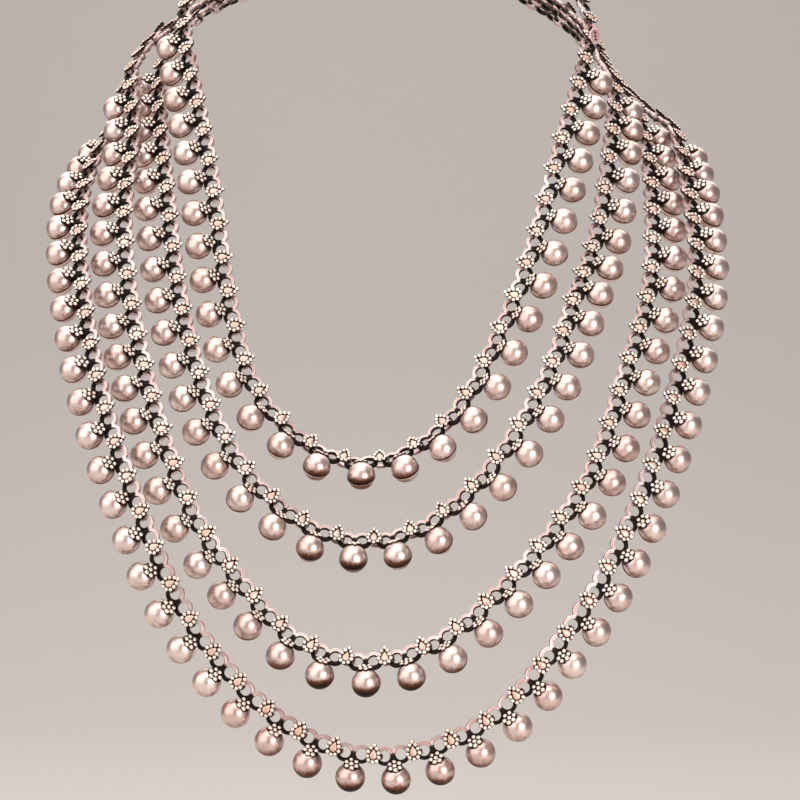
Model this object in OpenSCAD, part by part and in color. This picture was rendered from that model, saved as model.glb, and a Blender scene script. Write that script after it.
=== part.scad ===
/* [Ring pairs] */
// Outer radius of each ring of a pair
ring_r = 3.3; // [3.1:0.1:3.4]
// Radius of the hole in each ring
ring_hole = 2.2; // [2.1:0.1:2.3]
// Distance from the middle of a pair to each ring's centre
ring_off = 2.9; // [2.7:0.1:3.0]
// Width of the flat band that the rings are bent from
band_w = 1.6; // [1.4:0.1:1.6]

/* [Balls] */
// Diameter of the hollow balls
ball_d = 10.4; // [9:0.2:11]
// Distance from the ring pair's line to the ball's centre
ball_drop = 8.5; // [8:0.1:9]
// Diameter of the short neck between the rings and the ball
neck_d = 2.3; // [1.5:0.1:3]

/* [Ornaments] */
// Diameter of the granulated rosette over each ball
rosette_d = 5.4; // [4.6:0.2:6]
// Lean of the rosette towards the ball, in degrees
rosette_lean = 41; // [30:1:50]
// Half the width of the pear-shaped plaque between two pairs
plaque_r = 3; // [2.8:0.1:3.2]
// Thickness of the plaque
plaque_t = 0.75; // [0.6:0.05:1]

/* [Links] */
// Distance from one ring pair to the next in a strand
link = 14.25; // [14.2:0.05:14.3]
// Diameter of the wire loop that catches the next ring
wire_d = 0.9; // [0.7:0.1:1]

/* [Clasp] */
// Thickness of the hook between the two end plates
hook_t = 1.8; // [1.2:0.2:2]

/* [Hidden] */
$fn = 32;
silver = "#c9b3ac";
pale = "#e6d6cc";
dark = "#6b5a55";

// the pivot is where a wire loop passes through the next pair's first ring
pivot = 4.1;
// height of the plaque's back and depth of the loop's strip, from the band's middle
plaque_w = 1.6;
strip_w = -2.3;
strip_t = 0.65;
// an inner point of the neck and chest, which the ring pairs turn their backs to
core = [0, -50, -300];
// lean of each strand's units off the body, because the balls rest on it
lean = [15, 15, 25, 12];
// on the shoulders the units also turn outwards, from this height upwards
turn = [33, 34, 35, 25];
turn_low = [-108, -113, -130, -105];
turn_high = [-55, -64, -70, -85];
// lean and turn fade out over this height behind the shoulders
fade_top = -10;
fade = 40;

// Routes from the left end plate round the front to the right one, in mm
route_1 = [[-26, -13, 2], [-32, -13, 2], [-51, -18, -1], [-70, -27, -10], [-81, -45, -24],
    [-81, -67, -45], [-71, -95, -88], [-66, -109, -115], [-61, -122, -146], [-53, -134, -178],
    [-41, -142, -197], [-24, -146, -210], [-8, -148, -214], [10, -147, -209], [28, -144, -193],
    [41, -138, -169], [52, -129, -144], [61, -116, -116], [68, -103, -91], [78, -81, -58],
    [82, -63, -41], [79, -45, -24], [67, -30, -10], [49, -19, -1], [32, -13, 2], [26, -13, 2]];
route_2 = [[-26, -4, 1], [-48, -3, -5], [-69, -9, -18], [-82, -23, -32], [-90, -40, -44],
    [-92, -58, -58], [-90, -78, -79], [-86, -97, -106], [-82, -114, -133],
    [-75, -132, -165], [-63, -149, -198], [-47, -158, -222], [-26, -160, -238],
    [-8, -161, -242], [10, -161, -239], [31, -161, -224], [48, -161, -202],
    [62, -149, -177], [71, -134, -152], [81, -113, -127], [88, -93, -89], [92, -63, -63],
    [91, -32, -52], [87, -19, -42], [88, -12, -37], [77, 0, -23], [65, 5, -14], [47, 4, -5],
    [26, -4, 1]];
route_3 = [[-26, 5, -1], [-42, 8, -7], [-62, 4, -16], [-83, -10, -28], [-99, -32, -42],
    [-104, -58, -58], [-102, -71, -69], [-100, -87, -88], [-101, -111, -119],
    [-96, -133, -155], [-84, -160, -196], [-69, -175, -232], [-52, -174, -256],
    [-33, -178, -276], [-8, -184, -284], [19, -184, -277], [41, -181, -259],
    [60, -170, -239], [76, -159, -216], [89, -142, -182], [101, -120, -146],
    [104, -93, -108], [103, -68, -83], [102, -48, -70], [99, -30, -63], [94, -6, -49],
    [88, 7, -36], [79, 15, -25], [65, 19, -15], [46, 16, -6], [26, 5, -1]];
route_4 = [[-26, 14, -3], [-53, 18, -7], [-72, 13, -14], [-89, 6, -25], [-103, -7, -40],
    [-110, -28, -61], [-111, -51, -77], [-113, -65, -84], [-118, -97, -107],
    [-117, -122, -131], [-110, -149, -165], [-100, -169, -199], [-85, -184, -236],
    [-73, -189, -262], [-56, -190, -286], [-35, -192, -305], [-10, -197, -315],
    [16, -196, -313], [41, -194, -300], [60, -192, -278], [76, -186, -256],
    [93, -173, -223], [107, -155, -184], [117, -131, -145], [118, -102, -112],
    [117, -73, -88], [116, -54, -79], [108, -31, -70], [101, -6, -58], [94, 11, -47],
    [88, 21, -36], [77, 29, -24], [62, 31, -14], [44, 27, -7], [26, 14, -3]];
routes = [route_1, route_2, route_3, route_4];
// number of units in each strand, and the first and last that carry a ball
units = [45, 53, 62, 71];
first = [7, 8, 10, 12];
last = [36, 42, 50, 57];
// the last unit of each strand's left part
middle = [21, 25, 30, 34];

// a smooth curve through the route's points
function ends(p) = let (n = len(p) - 1)
    concat([2 * p[0] - p[1]], p, [2 * p[n] - p[n - 1]]);
function bend(a, b, c, d, t) = 0.5 * (2 * b + (c - a) * t
    + (2 * a - 5 * b + 4 * c - d) * t * t + (3 * b - a - 3 * c + d) * t * t * t);
function curve(p) = [
    for (i = [1:len(p) - 3]) for (j = [0:15]) bend(p[i - 1], p[i], p[i + 1], p[i + 2], j / 16),
    p[len(p) - 2]
];
// length along the curve at each of its points
function run(q) = [
    for (i = 0, s = 0; i < len(q); s = s + (i < len(q) - 1 ? norm(q[i + 1] - q[i]) : 0), i = i + 1) s
];
// points at equal lengths along the curve
function pivots(q, n) = let (d = run(q), all = d[len(d) - 1]) [
    for (j = [0:n])
        [for (c = [0:2]) lookup(all * j / n, [for (i = [0:len(q) - 1]) [d[i], q[i][c]]])]
];
function unit(a) = a / norm(a);
function clip(a) = max(0, min(1, a));

// frame of the unit between two pivots: along, inwards, off the body, and its middle
function place(a, b, k) = let (
    u = unit(b - a),
    o = a + pivot * u,
    r = o - core,
    w0 = unit(r - (r * u) * u),
    v0 = cross(w0, u),
    rise = clip((o[2] - turn_low[k]) / (turn_high[k] - turn_low[k])),
    t = (lean[k] - turn[k] * rise) * clip((fade_top - o[2]) / fade),
    w = w0 * cos(t) + v0 * sin(t),
    v = cross(w, u)
) [[u[0], v[0], w[0], o[0]], [u[1], v[1], w[1], o[1]], [u[2], v[2], w[2], o[2]], [0, 0, 0, 1]];
function frames(k) = let (p = pivots(curve(ends(routes[k])), units[k]))
    [for (j = [0:units[k] - 1]) place(p[j], p[j + 1], k)];

// outline of the pear-shaped plaque, with its tip towards the neck
function pear(a, r) = let (s = max(0, sin(a)))
    [r * cos(a) * (1 - 0.3 * s * s), (r + 0.1) * sin(a) * (1 + 0.6 * s * s)];

// Two flat-band rings side by side, seen as an eight
module ring_pair() {
    linear_extrude(height = band_w, center = true)
        difference() {
            for (side = [-1, 1]) translate([side * ring_off, 0]) circle(r = ring_r);
            for (side = [-1, 1]) translate([side * ring_off, 0]) circle(r = ring_hole);
        }
}

// Hollow ball on its neck, below the ring pair
module ball() {
    translate([0, -ball_drop, 0]) sphere(d = ball_d);
    translate([0, -1.6, 0]) rotate([90, 0, 0]) cylinder(d = neck_d, h = 3);
}

// Round ornament that hides the joint of ball and rings
module rosette() {
    translate([0, -3.9, 2.8]) rotate([-rosette_lean, 0, 0]) {
        translate([0, 0, -0.8]) cylinder(d = rosette_d, h = 0.9);
        cylinder(d = rosette_d * 0.7, h = 0.8);
    }
}

// Pear-shaped plate with a boss, over the gap to the next pair
module plaque() {
    translate([link / 2, 0, plaque_w]) {
        linear_extrude(height = plaque_t)
            polygon([for (i = [0:13]) pear(360 / 14 * i + 90, plaque_r)]);
        translate([0, -0.2, 0]) rotate_extrude()
            polygon([[0, 0.3], [1.3, 0.3], [1.3, 0.8], [0.6, 1.2], [0, 1.3]]);
    }
}

// Loop behind the plaque: wall, strip and the wire leg through the next ring
module loop() {
    leg = link - pivot;
    translate([leg, 0, strip_w]) cylinder(d = wire_d, h = plaque_w - strip_w + 0.3);
    translate([4.7, -0.6, strip_w]) cube([leg - 4.7, 1.2, strip_t]);
    translate([4.7, -0.6, strip_w]) cube([0.8, 1.2, plaque_w - strip_w + 0.3]);
}

// One soldered unit, with or without its ball
module link_unit(with_ball) {
    ring_pair();
    plaque();
    loop();
    if (with_ball) {
        ball();
        rosette();
    }
}

// The units of a strand from one number to another
module strand(k, from, to) {
    f = frames(k);
    for (j = [from:to]) multmatrix(f[j]) link_unit(j >= first[k] && j <= last[k]);
}

module left_part(k) {
    strand(k, 0, middle[k]);
}

module right_part(k) {
    strand(k, middle[k] + 1, units[k] - 1);
}

module strand_1_left() {
    color(silver) left_part(0);
}

module strand_1_right() {
    color(silver) right_part(0);
}

module strand_2_left() {
    color(pale) left_part(1);
}

module strand_2_right() {
    color(pale) right_part(1);
}

module strand_3_left() {
    color(silver) left_part(2);
}

module strand_3_right() {
    color(silver) right_part(2);
}

module strand_4_left() {
    color(pale) left_part(3);
}

module strand_4_right() {
    color(pale) right_part(3);
}

// Half the width of the tag's oval
tag_r = 2.6;

// End plate with a tongue for the hook, and with four eyes or four loops
module plate_body(eyes) {
    rows = [-13, -4, 5, 14];
    edge = eyes ? 22.2 : 21.5;
    linear_extrude(height = band_w, center = true)
        difference() {
            union() {
                polygon([[edge, -15], [edge, 16], [16.5, 16], [11, 4.2], [11, -4.2], [16.5, -15]]);
                translate([12, 0]) circle(r = 4.2);
                if (eyes) for (y = rows) translate([24.8, y]) circle(r = ring_r);
            }
            translate([12, 0]) circle(r = 2.6);
            if (eyes) for (y = rows) translate([24.8, y]) circle(r = ring_hole);
        }
    if (!eyes) for (y = rows) translate([0, y, 0]) {
        translate([26, 0, strip_w]) cylinder(d = wire_d, h = plaque_w - strip_w + 0.3);
        translate([20, -0.6, strip_w]) cube([6, 1.2, strip_t]);
        translate([20, -0.6, strip_w]) cube([0.8, 1.2, plaque_w - strip_w + 0.3]);
        translate([19.5, -1.5, plaque_w]) cube([7.5, 3, plaque_t]);
    }
}

module end_plate_right() {
    color(silver) rotate([-10.5, 0, 0]) plate_body(true);
}

module end_plate_left() {
    color(silver) rotate([-10.5, 0, 0]) rotate([0, 0, 180]) mirror([0, 1, 0]) plate_body(false);
}

// Flat hook in the shape of an S, through the holes of both tongues
module hook_half() {
    translate([8, 0]) difference() {
        circle(r = 4.9);
        circle(r = 3.1);
        polygon([[0, 0], [-6, 0.5], [-6, -6], [-1, -6]]);
    }
    polygon([[0, -0.9], [7, -4.9], [8, -3.1], [0, 0.9]]);
}

module clasp_hook() {
    color(dark) rotate([90, 0, 0]) linear_extrude(height = hook_t, center = true) {
        hook_half();
        rotate(180) hook_half();
    }
}

// Small oval tag on a jump ring, round the joint of two rings above the first strand's last
// ball. A short stem holds its face out over the next plaque, towards the viewer.
module tag() {
    color(pale) multmatrix(frames(0)[last[0] + 2]) {
        translate([0, 0, 0.6]) rotate([90, 0, 0]) rotate_extrude()
            translate([2.2, 0]) circle(d = 0.8);
        translate([-0.2, 0, 2.8]) rotate([0, -72.5, 0]) cylinder(d = 0.8, h = 7);
        translate([-8.9, 0.8, 3.9]) rotate([0, -30, 0]) rotate([0, 0, 25])
            linear_extrude(height = 0.7, center = true)
                polygon([for (i = [0:23]) tag_r * [1.22 * cos(15 * i), sin(15 * i)]]);
    }
}

strand_1_left();
strand_1_right();
strand_2_left();
strand_2_right();
strand_3_left();
strand_3_right();
strand_4_left();
strand_4_right();
end_plate_left();
end_plate_right();
clasp_hook();
tag();
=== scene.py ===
"""Four-strand necklace of oxidised silver: ball drops under flat ring pairs, with
granulated rosettes and pear plaques, closed by a hook between two end plates."""
import math
import bpy
import numpy as np
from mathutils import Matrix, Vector


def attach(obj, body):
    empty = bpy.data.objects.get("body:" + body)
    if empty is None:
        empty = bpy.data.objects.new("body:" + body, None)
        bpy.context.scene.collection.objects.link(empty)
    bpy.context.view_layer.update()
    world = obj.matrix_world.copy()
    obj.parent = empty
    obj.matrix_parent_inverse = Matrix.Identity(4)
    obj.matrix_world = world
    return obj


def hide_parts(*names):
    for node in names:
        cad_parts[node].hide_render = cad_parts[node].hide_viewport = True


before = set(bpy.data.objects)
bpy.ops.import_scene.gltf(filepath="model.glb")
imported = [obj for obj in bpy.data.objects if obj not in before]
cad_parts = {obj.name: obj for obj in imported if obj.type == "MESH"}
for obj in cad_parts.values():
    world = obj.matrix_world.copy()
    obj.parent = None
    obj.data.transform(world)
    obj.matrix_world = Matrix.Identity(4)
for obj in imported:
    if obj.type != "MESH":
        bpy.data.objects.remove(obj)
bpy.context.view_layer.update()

rng = np.random.default_rng(11)

# Sizes are in mm until a mesh is made, and this turns them to metres
MM = 0.001

# Routes of the strands, the same as in the part's source

# units in a strand, and the first and last one that carries a ball; how many degrees its units
# lean, and the outward turn that they take at the sides between a low and a high height
STRANDS = [
    dict(units=45, first=7, last=36, lean=15, turn=33, low=-108, high=-55, route=[
        (-26, -13, 2), (-32, -13, 2), (-51, -18, -1), (-70, -27, -10), (-81, -45, -24),
        (-81, -67, -45), (-71, -95, -88), (-66, -109, -115), (-61, -122, -146), (-53, -134, -178),
        (-41, -142, -197), (-24, -146, -210), (-8, -148, -214), (10, -147, -209),
        (28, -144, -193), (41, -138, -169), (52, -129, -144), (61, -116, -116), (68, -103, -91),
        (78, -81, -58), (82, -63, -41), (79, -45, -24), (67, -30, -10), (49, -19, -1),
        (32, -13, 2), (26, -13, 2)]),
    dict(units=53, first=8, last=42, lean=15, turn=34, low=-113, high=-64, route=[
        (-26, -4, 1), (-48, -3, -5), (-69, -9, -18), (-82, -23, -32), (-90, -40, -44),
        (-92, -58, -58), (-90, -78, -79), (-86, -97, -106), (-82, -114, -133), (-75, -132, -165),
        (-63, -149, -198), (-47, -158, -222), (-26, -160, -238), (-8, -161, -242),
        (10, -161, -239), (31, -161, -224), (48, -161, -202), (62, -149, -177), (71, -134, -152),
        (81, -113, -127), (88, -93, -89), (92, -63, -63), (91, -32, -52), (87, -19, -42),
        (88, -12, -37), (77, 0, -23), (65, 5, -14), (47, 4, -5), (26, -4, 1)]),
    dict(units=62, first=10, last=50, lean=25, turn=35, low=-130, high=-70, route=[
        (-26, 5, -1), (-42, 8, -7), (-62, 4, -16), (-83, -10, -28), (-99, -32, -42),
        (-104, -58, -58), (-102, -71, -69), (-100, -87, -88), (-101, -111, -119),
        (-96, -133, -155), (-84, -160, -196), (-69, -175, -232), (-52, -174, -256),
        (-33, -178, -276), (-8, -184, -284), (19, -184, -277), (41, -181, -259), (60, -170, -239),
        (76, -159, -216), (89, -142, -182), (101, -120, -146), (104, -93, -108), (103, -68, -83),
        (102, -48, -70), (99, -30, -63), (94, -6, -49), (88, 7, -36), (79, 15, -25),
        (65, 19, -15), (46, 16, -6), (26, 5, -1)]),
    dict(units=71, first=12, last=57, lean=12, turn=25, low=-105, high=-85, route=[
        (-26, 14, -3), (-53, 18, -7), (-72, 13, -14), (-89, 6, -25), (-103, -7, -40),
        (-110, -28, -61), (-111, -51, -77), (-113, -65, -84), (-118, -97, -107),
        (-117, -122, -131), (-110, -149, -165), (-100, -169, -199), (-85, -184, -236),
        (-73, -189, -262), (-56, -190, -286), (-35, -192, -305), (-10, -197, -315),
        (16, -196, -313), (41, -194, -300), (60, -192, -278), (76, -186, -256), (93, -173, -223),
        (107, -155, -184), (117, -131, -145), (118, -102, -112), (117, -73, -88), (116, -54, -79),
        (108, -31, -70), (101, -6, -58), (94, 11, -47), (88, 21, -36), (77, 29, -24),
        (62, 31, -14), (44, 27, -7), (26, 14, -3)]),
]
# the units turn their backs to this point inside the necklace
CORE = np.array([0, -50, -300.0])
# lean and turn fade out over FADE below this height, on the way round to the back
FADE_TOP, FADE = -10, 40
# pitch of the links, and how far before its middle a unit hangs on the one before it
LINK, PIVOT = 14.25, 4.1

# Sizes of a unit

# rings of a pair: distance of their centres from the middle
RING_OFF = 2.9
# ball: radius of its front half and of its smaller back half, and how far below the rings
BALL_R, BACK_R, BALL_DROP = 5.2, 5.08, 8.5
# rosette: its middle, how far it tilts up from the ball, and its granules' circle
ROSETTE_AT, ROSETTE_TILT, ROSETTE_R = (0, -3.9, 2.8), -41, 1.94
# plaque: its middle, halfway between two pairs
PLAQUE_AT = (LINK / 2, 0, 1.6)

# Patina and painted shade: 0 on clean metal, brown at about 0.5 and black from about 0.9, up to
# this value
BLACKEST = 1.2


def unit_length(a):
    """Vectors divided by their own lengths."""
    return a / np.linalg.norm(a, axis=-1, keepdims=True)


def length_along(points):
    """Length along a chain of points, from the first one to each."""
    return np.r_[0, np.cumsum(np.linalg.norm(np.diff(points, axis=0), axis=1))]


def strand_curve(points):
    """Smooth curve through the route's points, 16 steps to a span: each span is the cubic
    whose slope at a point is half the way from the point before to the point after."""
    p = np.array(points, float)
    p = np.vstack([2 * p[0] - p[1], p, 2 * p[-1] - p[-2]])
    t = (np.arange(16) / 16)[:, None]
    a, b, c, d = p[:-3, None], p[1:-2, None], p[2:-1, None], p[3:, None]
    q = 0.5 * (2 * b + (c - a) * t + (2 * a - 5 * b + 4 * c - d) * t ** 2
               + (3 * b - a - 3 * c + d) * t ** 3)
    return np.vstack([q.reshape(-1, 3), p[-2]])


def unit_frames(s):
    """Middles and axes of a strand's units. Pivots lie at equal lengths along the curve; u
    runs from pivot to pivot, w away from the core, turned by lean and turn, and v = w x u."""
    q = strand_curve(s["route"])
    run = length_along(q)
    at = np.linspace(0, run[-1], s["units"] + 1)
    p = np.stack([np.interp(at, run, q[:, c]) for c in range(3)], 1)
    u = unit_length(p[1:] - p[:-1])
    o = p[:-1] + PIVOT * u
    r = o - CORE
    w0 = unit_length(r - (r * u).sum(1, keepdims=True) * u)
    v0 = np.cross(w0, u)
    rise = np.clip((o[:, 2] - s["low"]) / (s["high"] - s["low"]), 0, 1)
    t = np.radians((s["lean"] - s["turn"] * rise) * np.clip((FADE_TOP - o[:, 2]) / FADE, 0, 1))
    w = w0 * np.cos(t)[:, None] + v0 * np.sin(t)[:, None]
    return o, np.stack([u, np.cross(w, u), w], 2)


# Forms: each one is (points, quads, tris, patina and painted shade), in a unit's own frame

def grid_faces(rows, cols, wrap_rows=False):
    """Quads of a grid whose rows are closed rings; wrapped rows join the last to the first."""
    r = np.arange(rows if wrap_rows else rows - 1)[:, None]
    c = np.arange(cols)[None, :]
    r2, c2 = (r + 1) % rows, (c + 1) % cols
    corners = [r * cols + c, r * cols + c2, r2 * cols + c2, r2 * cols + c]
    return np.stack(corners, -1).reshape(-1, 4)


def capped(rows, patina_and_shade, low, high):
    """Closed form from a grid of rings (rows, columns, 3), with a point at each end."""
    n, cols = rows.shape[:2]
    end = n * cols
    c = np.arange(cols)
    d = (c + 1) % cols
    tris = np.vstack([np.stack([np.full(cols, end), d, c], 1),
                      np.stack([np.full(cols, end + 1), end - cols + c, end - cols + d], 1)])
    points = np.vstack([rows.reshape(-1, 3), low, high])
    patina_and_shade = np.r_[np.repeat(patina_and_shade[1:-1], cols), patina_and_shade[0], patina_and_shade[-1]]
    return points, grid_faces(n, cols), tris, patina_and_shade


def stack(outline, levels):
    """One outline at several sizes and heights: point = (size x, size y, height). A level is
    size, height and patina, and the first and last are single points on the axis."""
    levels = np.array(levels, float)
    mid = levels[1:-1]
    xy = mid[:, None, 0:1] * outline[None]
    rows = np.concatenate([xy, np.broadcast_to(mid[:, None, 1:2], xy.shape[:2] + (1,))], 2)
    return capped(rows, levels[:, 2], [0, 0, levels[0, 1]], [0, 0, levels[-1, 1]])


def hoop(profile, sides):
    """Ring in the plane of u and v: a closed profile of radius, height and patina carried round
    the circle, point = (radius cos a, radius sin a, height)."""
    p = np.array(profile, float)
    a = 2 * np.pi * np.arange(sides) / sides
    rows = np.stack([p[:, 0:1] * np.cos(a), p[:, 0:1] * np.sin(a),
                     np.broadcast_to(p[:, 1:2], (len(p), sides))], 2)
    tris = np.zeros((0, 3), int)
    return rows.reshape(-1, 3), grid_faces(len(p), sides, True), tris, np.repeat(p[:, 2], sides)


def band(path):
    """Flat band bent along a path in the plane of u and w. Each step of the path is u, w,
    width, thickness and patina; the section is a rectangle with cut corners."""
    p = np.array(path, float)
    along = unit_length(np.gradient(p[:, :2], axis=0))
    across = np.array([(1, -0.5), (1, 0.5), (0.8, 1), (-0.8, 1),
                       (-1, 0.5), (-1, -0.5), (-0.8, -1), (0.8, -1)]) / 2
    n = np.stack([-along[:, 1], along[:, 0]], 1)
    rows = np.stack([p[:, 0:1] + n[:, 0:1] * across[:, 1] * p[:, 3:4],
                     across[:, 0] * p[:, 2:3],
                     p[:, 1:2] + n[:, 1:2] * across[:, 1] * p[:, 3:4]], 2)
    ends = [(p[i, 0], 0, p[i, 1]) for i in (0, -1)]
    return capped(rows, np.r_[p[0, 4], p[:, 4], p[-1, 4]], *ends)


def turn(axis, degrees):
    """Matrix that turns a form about axis 0, 1 or 2, the next axis towards the one after it."""
    c, s = math.cos(math.radians(degrees)), math.sin(math.radians(degrees))
    i, j = (axis + 1) % 3, (axis + 2) % 3
    m = np.eye(3)
    m[i, i], m[i, j], m[j, i], m[j, j] = c, -s, s, c
    return m


def moved(form, by=(0, 0, 0), turned=None):
    """The form turned by a matrix and then moved."""
    points = form[0] if turned is None else form[0] @ turned.T
    return (points + np.array(by, float),) + form[1:]


def joined(*forms):
    """Several forms as one; where one differs from unit to unit, all get that first index."""
    many = max([f[0].shape[0] for f in forms if f[0].ndim == 3], default=0)
    points, quads, tris, patina_and_shade, start = [], [], [], [], 0
    for p, q, t, m in forms:
        points.append(np.broadcast_to(p, (many,) + p.shape[-2:]) if many else p)
        patina_and_shade.append(np.broadcast_to(m, (many, p.shape[-2])) if many else m)
        quads.append(q + start)
        tris.append(t + start)
        start += p.shape[-2]
    return (np.concatenate(points, -2), np.vstack(quads), np.vstack(tris),
            np.concatenate(patina_and_shade, -1))


def circle(sides, start=0.0):
    """Points (cos a, sin a) at equal angles, from the angle start."""
    a = 2 * np.pi * np.arange(sides) / sides + start
    return np.stack([np.cos(a), np.sin(a)], 1)


def pear(a, half, low, high, pinch):
    """Outline of a pear: x = half cos a (1 - pinch s s), y = low sin a below the middle and
    high sin a with a slow rise above it, where s is the positive part of sin a."""
    s = np.maximum(0, np.sin(a))
    y = low * np.sin(a) * (1 + (high / low - 1) * s * s)
    return np.stack([half * np.cos(a) * (1 - pinch * s * s), y], -1)


def even_pear(count, half, low, high, pinch):
    """Points at equal distances along a pear's outline, the first one at its tip."""
    q = pear(np.pi / 2 + np.linspace(0, 2 * np.pi, 721), half, low, high, pinch)
    run = length_along(q)
    at = run[-1] * np.arange(count) / count
    return np.stack([np.interp(at, run, q[:, c]) for c in (0, 1)], 1)


def granules(centres, size, base):
    """Small domes with dark feet, soldered side by side: one at each centre (units, count, 2),
    with radius size (units, count), on the plane at height base."""
    dome = stack(circle(8, 0.3), [(0, -0.1, 1), (0.98, -0.08, 1), (1.02, 0.36, 0.85),
                                  (0.86, 0.72, 0.22), (0.5, 0.93, 0), (0, 1.0, 0)])
    units, count = size.shape
    m = len(dome[0])
    points = dome[0] * size[:, :, None, None]
    points[..., :2] += centres[:, :, None]
    points[..., 2] += base
    step = (np.arange(count) * m)[:, None, None]
    return (points.reshape(units, count * m, 3), (dome[1] + step).reshape(-1, 4),
            (dome[2] + step).reshape(-1, 3), np.tile(dome[3], count))


# Pieces of a unit

def ring_pair():
    """Two flat rings side by side, each with a fine groove along its front face, and a web that
    fills the valley between them: its upper edge is y = 1.95 + 0.6 x x, its lower one
    y = -0.05 + 1.5 x x."""
    profile = [(3.25, -0.8, 0.5), (3.37, -0.62, 0.35), (3.37, 0.52, 0.1), (3.24, 0.78, 0),
               (2.8, 0.83, 0), (2.72, 0.77, 0.2), (2.66, 0.77, 0.2), (2.58, 0.83, 0),
               (2.12, 0.78, 0.05), (1.98, 0.55, 0.6), (1.98, -0.6, 0.95), (2.12, -0.8, 0.6)]
    ring = hoop(profile, 28)
    x = np.linspace(0.95, -0.95, 7)
    upper = np.stack([x, 0.4 + 0.6 * x * x], 1)
    x = np.linspace(-0.8, 0.8, 7)
    lower = np.stack([x, -1.6 + 1.5 * x * x], 1)
    levels = [(0, -0.7, 0.8), (1, -0.68, 0.8), (1, 0.6, 0.3), (0.9, 0.8, 0), (0.7, 0.84, 0),
              (0, 0.85, 0)]
    web = stack(np.vstack([upper, lower]), levels)
    points, quads, tris, patina_and_shade = joined(
        moved(ring, (-RING_OFF, 0, 0)), moved(ring, (RING_OFF, 0, 0.02)), moved(web, (0, 1.55, 0)))
    # the upper arcs are light; the rings darken towards their lower halves and at the joint above
    # the ball
    x, v = points[:, 0], points[:, 1]
    joint = np.clip(1.25 - abs(x), 0, 1) * np.clip((1.1 - v) / 1.1, 0, 1)
    patina_and_shade = patina_and_shade + 0.85 * np.clip((1.1 - v) / 2.0, 0, 1) + 0.6 * joint
    return points, quads, tris, np.clip(patina_and_shade, 0, BLACKEST)


def catch_band():
    """Wide band from the plaque's back behind the gap and up through the next ring."""
    return band([
        (5.1, 1.75, 1.3, 0.7, 0.5), (5.1, 0.6, 1.3, 0.7, 0.3), (5.15, -0.7, 1.5, 0.65, 0.2),
        (5.45, -1.55, 2.0, 0.6, 0.15), (6.1, -1.98, 2.5, 0.6, 0.1), (7.1, -2.05, 2.7, 0.6, 0.1),
        (8.4, -2.0, 2.6, 0.6, 0.1), (9.5, -1.75, 2.3, 0.6, 0.1), (10.1, -1.05, 1.8, 0.6, 0.15),
        (10.28, 0.0, 1.5, 0.56, 0.2), (10.25, 1.0, 1.6, 0.56, 0.3), (10.05, 1.75, 2.0, 0.6, 0.5)])


def ball_neck():
    """Short waisted neck with a collar, from the rings down into the ball."""
    levels = [(0, -0.2, 0.9), (1.1, -0.1, 0.9), (0.95, 0.7, 0.9), (1.2, 1.3, 0.7),
              (1.45, 1.6, 0.9), (1.5, 2.4, 1), (0, 2.5, 1)]
    return moved(stack(circle(12), levels), (0, -1.7, 0), turn(0, 90))


def hollow_ball(axes):
    """Ball of two pressed halves, a profile of half circles turned about w, with shallow dents:
    each point moves out from the middle by three slow cosines of its place. The seam is a dark
    groove in the plane of the rings, with the back half's rim behind it."""
    count = len(axes)
    back = np.radians(np.linspace(-82, -14, 8))
    front = np.radians(np.linspace(6, 82, 9))
    levels = [(0, -BACK_R, 0.25)]
    levels += [(BACK_R * math.cos(a), BACK_R * math.sin(a), 0.2) for a in back]
    # the back half's rim, the seam and the front half's edge
    levels += [(5.15, -0.85, 0.1), (5.2, -0.55, 0.05), (5.17, -0.36, 0.5), (5.02, -0.26, 1.2),
               (5.02, -0.12, 1.2), (5.15, 0.0, 0.6), (5.2, 0.2, 0.2)]
    levels += [(BALL_R * math.cos(a), BALL_R * math.sin(a), 0) for a in front]
    levels += [(0, BALL_R, 0)]
    points, quads, tris, patina_and_shade = stack(circle(28), levels)
    place = points / BALL_R
    v, w = place[:, 1], place[:, 2]
    # black at the neck, where patina fills the hollow, and under the rosette as its painted shadow
    top = np.clip((v + 0.5 * w - 0.88) / 0.18, 0, 1)
    # painted shade: brown on the underside and darker towards the seam on the front half, as
    # reflected dark surroundings would make them, and less of both where the strand runs steeply,
    # at the sides, where the balls face the light; height is how far up in the ball a point is, as
    # worn
    height = np.einsum("nj,mj->nm", axes[:, 2], place)
    steep = np.clip((abs(axes[:, 2, 0]) - 0.15) / 0.5, 0, 1)
    share = (1 - 0.72 * steep)[:, None]
    under = np.clip(-height / 0.9, 0, 1) * np.where(w > -0.04, 1, 0.4)
    rim = np.clip(1 - w / 0.8, 0, 1) * (w > 0)
    patina_and_shade = np.clip(patina_and_shade + 0.95 * top + share * (0.95 * under + 0.5 * rim), 0, BLACKEST)
    way = unit_length(rng.normal(size=(count, 3, 3)))
    dents = (np.cos(2.4 * np.einsum("nkj,mj->nkm", way, place) + 1) * 0.035).sum(1)
    points = points * (1 + dents[..., None] / BALL_R)
    # a front half seldom sits quite square on the back one
    shift = rng.uniform(-0.09, 0.09, (count, 1, 2)) * (points[..., 2:] > -0.1)
    points = np.concatenate([points[..., :2] + shift, points[..., 2:]], 2)
    return moved((points, quads, tris, patina_and_shade), (0, -BALL_DROP, 0))


def rosette_disc():
    """Round back plate of the rosette, with a rim."""
    levels = [(0, -0.8, 1), (2.5, -0.8, 1), (2.76, -0.62, 0.9), (2.82, -0.34, 0.7),
              (2.76, -0.12, 0.8), (2.6, -0.14, 1.2), (0, -0.1, 1.2)]
    return moved(stack(circle(22), levels), ROSETTE_AT, turn(0, ROSETTE_TILT))


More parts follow.
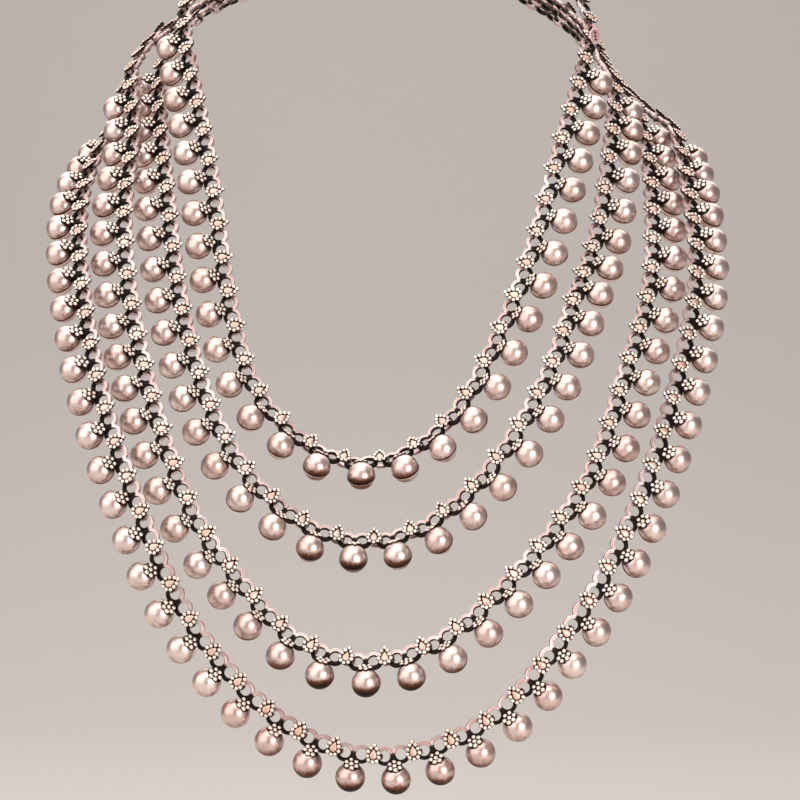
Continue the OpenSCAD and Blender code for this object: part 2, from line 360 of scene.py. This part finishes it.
def rosette_granules(count):
    """Six granules round one, turned by a chance angle in each rosette."""
    spin = rng.uniform(0, np.pi / 3, (count, 1)) + np.pi / 3 * np.arange(6)
    spin = spin + rng.normal(0, 0.05, spin.shape)
    out = rng.normal(ROSETTE_R, 0.05, spin.shape)
    around = np.stack([out * np.cos(spin), out * np.sin(spin)], 2)
    centres = np.concatenate([around, rng.normal(0, 0.06, (count, 1, 2))], 1)
    # the granules over the ball are a little larger than the ones next to the rings
    size = rng.normal(0.89, 0.03, (count, 7)) - 0.08 * centres[:, :, 1] / ROSETTE_R
    return moved(granules(centres, size, -0.1), ROSETTE_AT, turn(0, ROSETTE_TILT))


def plaque_plate():
    """Pear-shaped back plate with a bevelled edge and a dark face."""
    outline = even_pear(26, 2.68, 2.78, 4.35, 0.26)
    levels = [(0, 0, 0.35), (0.9, 0, 0.4), (0.98, 0.1, 0.6), (1, 0.3, 0.8), (0.97, 0.48, 0.95),
              (0.88, 0.52, 1.2), (0.5, 0.52, 1.2), (0, 0.52, 1.2)]
    return moved(stack(outline, levels), PLAQUE_AT)


def plaque_granules(count):
    """Ten granules at equal distances along the pear's edge, the first one at its tip."""
    edge = even_pear(10, 2.2, 2.28, 3.85, 0.24)
    centres = edge[None] + rng.normal(0, 0.05, (count, 10, 2))
    size = rng.normal(0.79, 0.03, (count, 10))
    return moved(granules(centres, size, 0.5), PLAQUE_AT)


def plaque_boss():
    """Smooth drop-shaped boss in the middle of the plaque, with a dark foot."""
    outline = even_pear(18, 1.33, 1.4, 2.35, 0.32)
    levels = [(0, 0.4, 1), (0.97, 0.45, 1), (1.0, 0.66, 0.75), (0.94, 0.86, 0.1), (0.72, 1.0, 0),
              (0.36, 1.07, 0), (0, 1.09, 0)]
    return moved(stack(outline, levels), PLAQUE_AT)


def tag_and_ring():
    """Oval tag with a raised rim and three dark dots, held out by a stem from a round jump ring.
    The stem leans by 72.5 degrees and the face by 30, its oval turned by 25 in its plane."""
    oval = circle(28) * (3.17, 2.6)
    levels = [(0, -0.34, 0.3), (0.9, -0.35, 0.3), (1, -0.2, 0.3), (1, 0.2, 0.05), (0.95, 0.35, 0),
              (0.86, 0.35, 0.05), (0.81, 0.2, 0.5), (0.76, 0.19, 0.32), (0, 0.2, 0.26)]
    dot = stack(circle(12), [(0, 0.1, 1.2), (0.5, 0.15, 1.2), (0.5, 0.225, 1.2), (0, 0.23, 1.2)])
    face = joined(stack(oval, levels), *[moved(dot, (x, 0, 0)) for x in (-1.35, 0, 1.35)])
    wire = np.c_[(2.2, 0) + 0.4 * circle(10), np.full(10, 0.3)]
    stem = stack(circle(10), [(0, 0, 0.3), (0.4, 0, 0.3), (0.4, 7, 0.3), (0, 7, 0.3)])
    return joined(moved(hoop(wire, 24), (0, 0, 0.6), turn(0, 90)),
                  moved(stem, (-0.2, 0, 2.8), turn(1, -72.5)),
                  moved(face, (-8.9, 0.8, 3.9), turn(1, -30) @ turn(2, 25)))


# Finishes

# Sizes of the silver's patterns. Patches of tone, specks and dents are as large as on real work.
# Its wear is really finer than 0.1 mm and is drawn at 0.3 mm, so that it shows in the render.
PATCH, SPECK, HOLLOW, WEAR = 4 * MM, 1.1 * MM, 2.2 * MM, 0.3 * MM


def shade(text):
    """sRGB hex to linear colour."""
    c = np.array([int(text[i:i + 2], 16) for i in (1, 3, 5)]) / 255
    c = np.where(c <= 0.04045, c / 12.92, ((c + 0.055) / 1.055) ** 2.4)
    return (*c, 1.0)


def node(tree, kind, settings=None, links=None):
    """Adds a shader node: settings are its attributes, or inputs by name or number, and links
    gives for an input the socket that feeds it."""
    n = tree.nodes.new("ShaderNode" + kind)
    for key, value in (settings or {}).items():
        if isinstance(key, str) and hasattr(n, key):
            setattr(n, key, value)
        else:
            n.inputs[key].default_value = value
    for key, socket in (links or {}).items():
        tree.links.new(socket, n.inputs[key])
    return n


def silver(name, clean, warm, brown, dark, rough, dark_rough, dent, wear):
    """Toned silver: the clean colour drifts to the warm one in patches, and turns brown and then
    dark as the value of patina and painted shade rises. Rough and dark_rough are the roughness
    of clean and of black metal, and dent and wear are how deep its dents and its worn grain are."""
    m = bpy.data.materials.new(name)
    m.use_nodes = True
    t = m.node_tree
    t.nodes.clear()
    at = node(t, "TexCoord").outputs["Object"]
    # one value for the patina in the hollows and, on the balls, painted shade as well
    patina_and_shade = node(t, "Attribute", {"attribute_name": "patina_and_shade"}).outputs["Fac"]
    tone = node(t, "Attribute", {"attribute_name": "tone"}).outputs["Fac"]
    patches = node(t, "TexNoise", {"Scale": 1 / PATCH, "Detail": 3.0, "Roughness": 0.6},
                   {"Vector": at}).outputs["Fac"]
    specks = node(t, "TexNoise", {"Scale": 1 / SPECK, "Detail": 3.0, "Roughness": 0.65},
                  {"Vector": at}).outputs["Fac"]
    # patches and specks push the edge of the patina and painted shade in and out
    drift = node(t, "Math", {"operation": "MULTIPLY_ADD", 1: 0.44, 2: -0.22},
                 {0: specks}).outputs[0]
    sway = node(t, "Math", {"operation": "MULTIPLY_ADD", 1: 0.5, 2: -0.25},
                {0: patches}).outputs[0]
    edge = node(t, "Math", {"operation": "ADD"}, {0: patina_and_shade, 1: drift}).outputs[0]
    edge = node(t, "Math", {"operation": "ADD"}, {0: edge, 1: sway}).outputs[0]
    toned = node(t, "MapRange", {"From Min": 0.08, "From Max": 0.55,
                                 "interpolation_type": "SMOOTHSTEP"}, {"Value": edge}).outputs[0]
    black = node(t, "MapRange", {"From Min": 0.4, "From Max": 0.95,
                                 "interpolation_type": "SMOOTHSTEP"}, {"Value": edge}).outputs[0]
    tint = node(t, "Math", {"operation": "MULTIPLY_ADD", 1: 0.6, "use_clamp": True},
                {0: patches, 2: tone}).outputs[0]
    tint = node(t, "MapRange", {"From Min": 0.25, "From Max": 1.2}, {"Value": tint}).outputs[0]
    # inputs 6 and 7 of a colour mix are its two colours, and output 2 is the result
    metal = node(t, "Mix", {"data_type": "RGBA", 6: shade(clean), 7: shade(warm)},
                 {0: tint}).outputs[2]
    metal = node(t, "Mix", {"data_type": "RGBA", 7: shade(brown)}, {0: toned, 6: metal}).outputs[2]
    colour = node(t, "Mix", {"data_type": "RGBA", 7: shade(dark)}, {0: black, 6: metal}).outputs[2]
    gloss = node(t, "MapRange", {"To Min": rough, "To Max": dark_rough},
                 {"Value": black}).outputs[0]
    gloss = node(t, "Math", {"operation": "MULTIPLY_ADD", 1: 0.12, "use_clamp": True},
                 {0: patches, 2: gloss}).outputs[0]
    hollows = node(t, "TexNoise", {"Scale": 1 / HOLLOW, "Detail": 1.0},
                   {"Vector": at}).outputs["Fac"]
    scratch = node(t, "TexNoise", {"Scale": 1 / WEAR, "Detail": 2.0},
                   {"Vector": at}).outputs["Fac"]
    bump = node(t, "Bump", {"Strength": 1.0, "Distance": dent * MM},
                {"Height": hollows}).outputs[0]
    bump = node(t, "Bump", {"Strength": 1.0, "Distance": wear * MM},
                {"Height": scratch, "Normal": bump}).outputs[0]
    metallic = node(t, "MapRange", {"To Min": 1.0, "To Max": 0.75}, {"Value": black}).outputs[0]
    skin = node(t, "BsdfPrincipled", None,
                {"Base Color": colour, "Roughness": gloss, "Metallic": metallic, "Normal": bump})
    node(t, "OutputMaterial", None, {"Surface": skin.outputs[0]})
    return m


# Pressed sheet silver, burnished in use: smooth and softly glossy, rosy grey, with painted brown
# shade below
burnished = silver("silver_sheet_burnished", "#f6e4de", "#e0c2ba", "#7c4e3a", "#24140e",
                   rough=0.3, dark_rough=0.45, dent=0.04, wear=0.004)
# Drawn flat silver wire, toned: satin and a little rosier, with faint lines in the grooves
satin = silver("silver_band_satin", "#f6e2df", "#bd9793", "#5a443e", "#1e1614",
               rough=0.38, dark_rough=0.5, dent=0.04, wear=0.008)
# Fused silver granules, rubbed bright: cream tops out of a black ground
rubbed = silver("silver_granules_rubbed", "#fffaf2", "#fbe9dd", "#96614a", "#0f0806",
                rough=0.44, dark_rough=0.6, dent=0.03, wear=0.006)
# Cast silver, bleached and polished: the rosy bosses between the granules
boss = silver("silver_boss_polished", "#fae0d4", "#eab9a4", "#7a4c3c", "#160c09",
              rough=0.45, dark_rough=0.6, dent=0.03, wear=0.005)
# Pressed silver, toned violet-pink and matt, so that the tag's face stays light from any side
rosy = silver("silver_tag_rosy", "#ffeeee", "#f2c8cc", "#c98f98", "#1a1012",
              rough=0.68, dark_rough=0.75, dent=0.02, wear=0.006)
# Sawn silver plate, brushed: flat end plates and hook, greyer and more worn than the strands
brushed = silver("silver_plate_brushed", "#cdbab2", "#a58a80", "#5b4038", "#1a100d",
                 rough=0.4, dark_rough=0.6, dent=0.03, wear=0.01)

# units below this height are toned more, fully so DEEP_OVER further down
DEEP_TONE, DEEP_OVER = -285, 20


def piece(name, form, places, finish, nodes):
    """Lays the form into every frame, world = middle + axes times local, and makes the mesh
    in metres, with a value of patina and painted shade for each point and a tone for each unit."""
    o, axes = places
    points, quads, tris, patina_and_shade = form
    n, m = len(o), points.shape[-2]
    world = o[:, None] + np.einsum("nij,nmj->nmi", axes, np.broadcast_to(points, (n, m, 3)))
    step = (np.arange(n) * m)[:, None, None]
    quads, tris = (quads + step).reshape(-1, 4), (tris + step).reshape(-1, 3)
    mesh = bpy.data.meshes.new(name)
    mesh.vertices.add(n * m)
    mesh.vertices.foreach_set("co", (world * MM).ravel().astype(np.float32))
    loops = np.r_[quads.ravel(), tris.ravel()].astype(np.int32)
    starts = np.r_[4 * np.arange(len(quads)), 4 * len(quads) + 3 * np.arange(len(tris))]
    mesh.loops.add(len(loops))
    mesh.loops.foreach_set("vertex_index", loops)
    mesh.polygons.add(len(starts))
    mesh.polygons.foreach_set("loop_start", starts.astype(np.int32))
    mesh.update(calc_edges=True)
    mesh.validate()
    tone = rng.uniform(0, 0.6, n) + 0.5 * np.clip((DEEP_TONE - o[:, 2]) / DEEP_OVER, 0, 1)
    values = {"patina_and_shade": np.broadcast_to(patina_and_shade, (n, m)), "tone": np.repeat(tone, m)}
    for key, value in values.items():
        layer = mesh.attributes.new(key, "FLOAT", "POINT")
        layer.data.foreach_set("value", value.ravel().astype(np.float32))
    mesh.shade_smooth()
    mesh.set_sharp_from_angle(angle=math.radians(45))
    mesh.materials.append(finish)
    thing = bpy.data.objects.new(name, mesh)
    bpy.context.scene.collection.objects.link(thing)
    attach(thing, "root")
    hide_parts(*nodes)


for k, s in enumerate(STRANDS):
    o, axes = unit_frames(s)
    carries = slice(s["first"], s["last"] + 1)
    every, with_ball = (o, axes), (o[carries], axes[carries])
    strand = "strand_%d" % (k + 1)
    nodes = (strand + "_left", strand + "_right")
    piece(strand + "_rings", joined(ring_pair(), catch_band()), every, satin, nodes)
    piece(strand + "_balls", joined(hollow_ball(axes[carries]), ball_neck()), with_ball,
          burnished, nodes)
    piece(strand + "_plaques", plaque_plate(), every, satin, nodes)
    piece(strand + "_bosses", plaque_boss(), every, boss, nodes)
    piece(strand + "_rosettes", rosette_disc(), with_ball, satin, nodes)
    piece(strand + "_plaque_granules", plaque_granules(len(o)), every, rubbed, nodes)
    piece(strand + "_rosette_granules", rosette_granules(len(o[carries])), with_ball, rubbed,
          nodes)

# the tag's ring goes round the first strand's second unit after the last ball
o, axes = unit_frames(STRANDS[0])
at = STRANDS[0]["last"] + 2
piece("tag_oval", tag_and_ring(), (o[at:at + 1], axes[at:at + 1]), rosy, ("tag",))

# the hook and the end plates keep their solids
for name in ("end_plate_left", "end_plate_right", "clasp_hook"):
    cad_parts[name].data.materials.clear()
    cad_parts[name].data.materials.append(brushed)

# Camera at the photograph's place, level and about 0.9 m in front of the lowest balls. The focal
# length is in pixels of the photograph's width.
PHOTO_WIDTH, FOCAL, SENSOR = 800, 2564, 36
lens = bpy.data.cameras.new("camera")
lens.sensor_width = SENSOR
lens.lens = SENSOR * FOCAL / PHOTO_WIDTH
lens.clip_start = 0.05
camera = bpy.data.objects.new("camera", lens)
camera.location = (0.0053, -1.1, -0.19)
camera.rotation_euler = (math.pi / 2, 0, 0)
bpy.context.scene.collection.objects.link(camera)
bpy.context.scene.camera = camera


# Studio, in metres

def softbox(name, at, towards, wide, high, power, colour):
    """Rectangular area lamp that looks from one point towards another."""
    lamp = bpy.data.lights.new(name, "AREA")
    lamp.shape = "RECTANGLE"
    lamp.size, lamp.size_y, lamp.energy = wide, high, power
    lamp.color = shade(colour)[:3]
    thing = bpy.data.objects.new(name, lamp)
    thing.location = at
    thing.rotation_euler = (Vector(towards) - Vector(at)).to_track_quat("-Z", "Y").to_euler()
    bpy.context.scene.collection.objects.link(thing)


# large soft light from the left and above, with a small box for the second highlight on the right
softbox("softbox_left", (-0.85, -0.8, 0.19), (0, -0.2, -0.16), 1.6, 1.15, 7.9, "#fff8f4")
softbox("softbox_above", (-0.1, -0.78, 0.85), (0, -0.12, -0.18), 1.4, 0.6, 3.7, "#fff8f2")
softbox("softbox_right", (0.33, -0.72, -0.19), (0, -0.12, -0.22), 0.26, 0.3, 2.1, "#fffaf6")
softbox("softbox_over", (-0.1, -0.2, 1.0), (0, -0.1, -0.2), 1.6, 1.3, 7.6, "#fffaf6")
# one from behind on the upper edges of the rings, and one on the paper
softbox("softbox_rear", (0, 0.7, 0.75), (0, -0.1, -0.15), 2.4, 0.7, 6, "#fffaf6")
softbox("softbox_back", (0, 0.7, 1.5), (0, 1.5, 0.0), 2.4, 0.8, 14, "#fffaf6")

world = bpy.data.worlds.new("studio")
world.use_nodes = True
sky = world.node_tree.nodes["Background"].inputs
sky["Color"].default_value = shade("#f2e9e4")
sky["Strength"].default_value = 0.22
bpy.context.scene.world = world
bpy.context.scene.view_settings.view_transform = "Standard"

# paper sweep: height of its floor, front edge, where it starts to bend, radius and top of the wall
FLOOR, FRONT, BEND_AT, BEND_R, WALL_TOP = -0.45, -1.2, 0.9, 1.0, 2.6
HALF_WIDE = 2.5


def sweep():
    """Pale paper sweep: a floor below the lowest ball that bends up behind the necklace in a
    quarter circle and goes on as a wall, point = (x, profile y, profile z)."""
    bend = np.radians(np.linspace(0, 90, 25))
    y = np.r_[FRONT, BEND_AT + BEND_R * np.sin(bend), BEND_AT + BEND_R]
    z = np.r_[FLOOR, FLOOR + BEND_R * (1 - np.cos(bend)), WALL_TOP]
    x = np.array([-HALF_WIDE, HALF_WIDE])
    points = np.stack(np.broadcast_arrays(x[None], y[:, None], z[:, None]), 2).reshape(-1, 3)
    r = 2 * np.arange(len(y) - 1)
    faces = np.stack([r, r + 1, r + 3, r + 2], 1)
    mesh = bpy.data.meshes.new("paper_sweep")
    mesh.from_pydata(points.tolist(), [], faces.tolist())
    mesh.shade_smooth()
    thing = bpy.data.objects.new("paper_sweep", mesh)
    bpy.context.scene.collection.objects.link(thing)
    # matt card, so it shows no gloss
    card = bpy.data.materials.new("card_matt")
    card.use_nodes = True
    skin = card.node_tree.nodes["Principled BSDF"]
    skin.inputs["Base Color"].default_value = shade("#d2cecb")
    skin.inputs["Roughness"].default_value = 0.9
    mesh.materials.append(card)


sweep()
